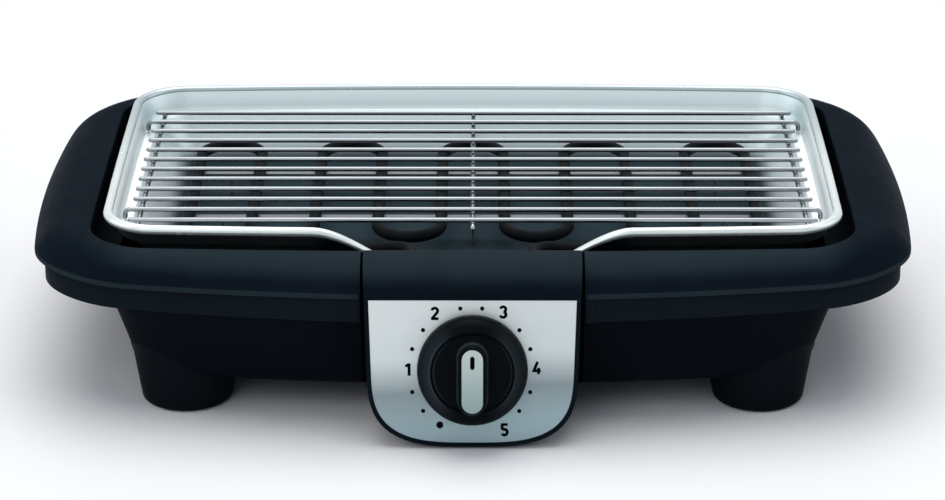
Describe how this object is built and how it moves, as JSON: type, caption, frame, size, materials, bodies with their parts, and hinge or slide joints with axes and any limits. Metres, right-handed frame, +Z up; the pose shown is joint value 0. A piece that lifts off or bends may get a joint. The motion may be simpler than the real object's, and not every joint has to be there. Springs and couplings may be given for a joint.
{
  "type": "electric table grill",
  "caption": "Open electric table grill: dark bowl on feet, wide rim with end handles, bright reflector tray, serpentine heater on a plug-in control box with knob, lift-out wire grid",
  "frame": {"origin": "on the table, under the middle of the box round the whole grill", "axes": "+X to the right along the grill's length, -Y towards the user and the control box, +Z up"},
  "size_m": [0.534, 0.3731, 0.1125],
  "materials": {
    "rim_plastic": "satin, fine grain",
    "bowl_plastic": "satin, near black",
    "black_rubber": "matt",
    "zinc_screw": "zinc plated",
    "bright_sheet": "bright, pressed",
    "chromed_wire": "polished",
    "dark_tube": "dark oxidised, matt",
    "white_ceramic": "unglazed",
    "plain_steel": "stamped",
    "brass": "plain",
    "plate_silver": "satin",
    "knob_black": "half gloss",
    "insert_silver": "satin, slightly green",
    "switch_white": "plain"
  },
  "bodies": {
    "base": {"base_bowl": "bowl_plastic", "top_rim": "rim_plastic", "front_left_foot": "bowl_plastic", "front_right_foot": "bowl_plastic", "rear_left_foot": "bowl_plastic", "rear_right_foot": "bowl_plastic", "foot_pads": "black_rubber", "foot_screws": "zinc_screw", "rim_screws": "zinc_screw"},
    "reflector_tray": {"reflector_tray": "bright_sheet"},
    "heater_unit": {"heating_element": "dark_tube", "element_seals": "white_ceramic", "element_pins": "plain_steel", "element_flange": "plain_steel", "element_cradles": "plain_steel", "control_housing": "rim_plastic", "housing_rear_cover": "bowl_plastic", "housing_screws": "zinc_screw", "faceplate": "plate_silver", "thermostat_frame": "plain_steel", "thermostat_ceramics": "white_ceramic", "thermostat_springs": "brass", "thermostat_rivets": "plain_steel", "safety_switch": "bowl_plastic", "terminal_block": "white_ceramic", "terminal_screws": "brass", "cord_bush": "black_rubber"},
    "cooking_grid": {"cooking_grid": "chromed_wire"},
    "knob": {"control_shaft": "plain_steel", "control_knob": "knob_black", "knob_insert": "insert_silver"},
    "switch_plunger": {"switch_plunger": "switch_white"}
  },
  "joints": [
    {"name": "tray_lift", "type": "slide", "parent": "base", "child": "reflector_tray", "axis": [0, 0, 1], "range_m": [0, 0.12]},
    {"name": "heater_lift", "type": "slide", "parent": "reflector_tray", "child": "heater_unit", "axis": [0, 0, 1], "range_m": [0, 0.12]},
    {"name": "grid_lift", "type": "slide", "parent": "heater_unit", "child": "cooking_grid", "axis": [0, 0, 1], "range_m": [0, 0.05]},
    {"name": "knob_turn", "type": "hinge", "parent": "heater_unit", "child": "knob", "pos_m": [0, -0.15555, 0.0457], "axis": [0, -0.9659, 0.2588], "range_deg": [-150, 150]},
    {"name": "plunger_stroke", "type": "slide", "parent": "heater_unit", "child": "switch_plunger", "axis": [0, 0, 1], "range_m": [0, 0.003], "stiffness_N_per_m": 400, "springref_m": -0.002}
  ]
}
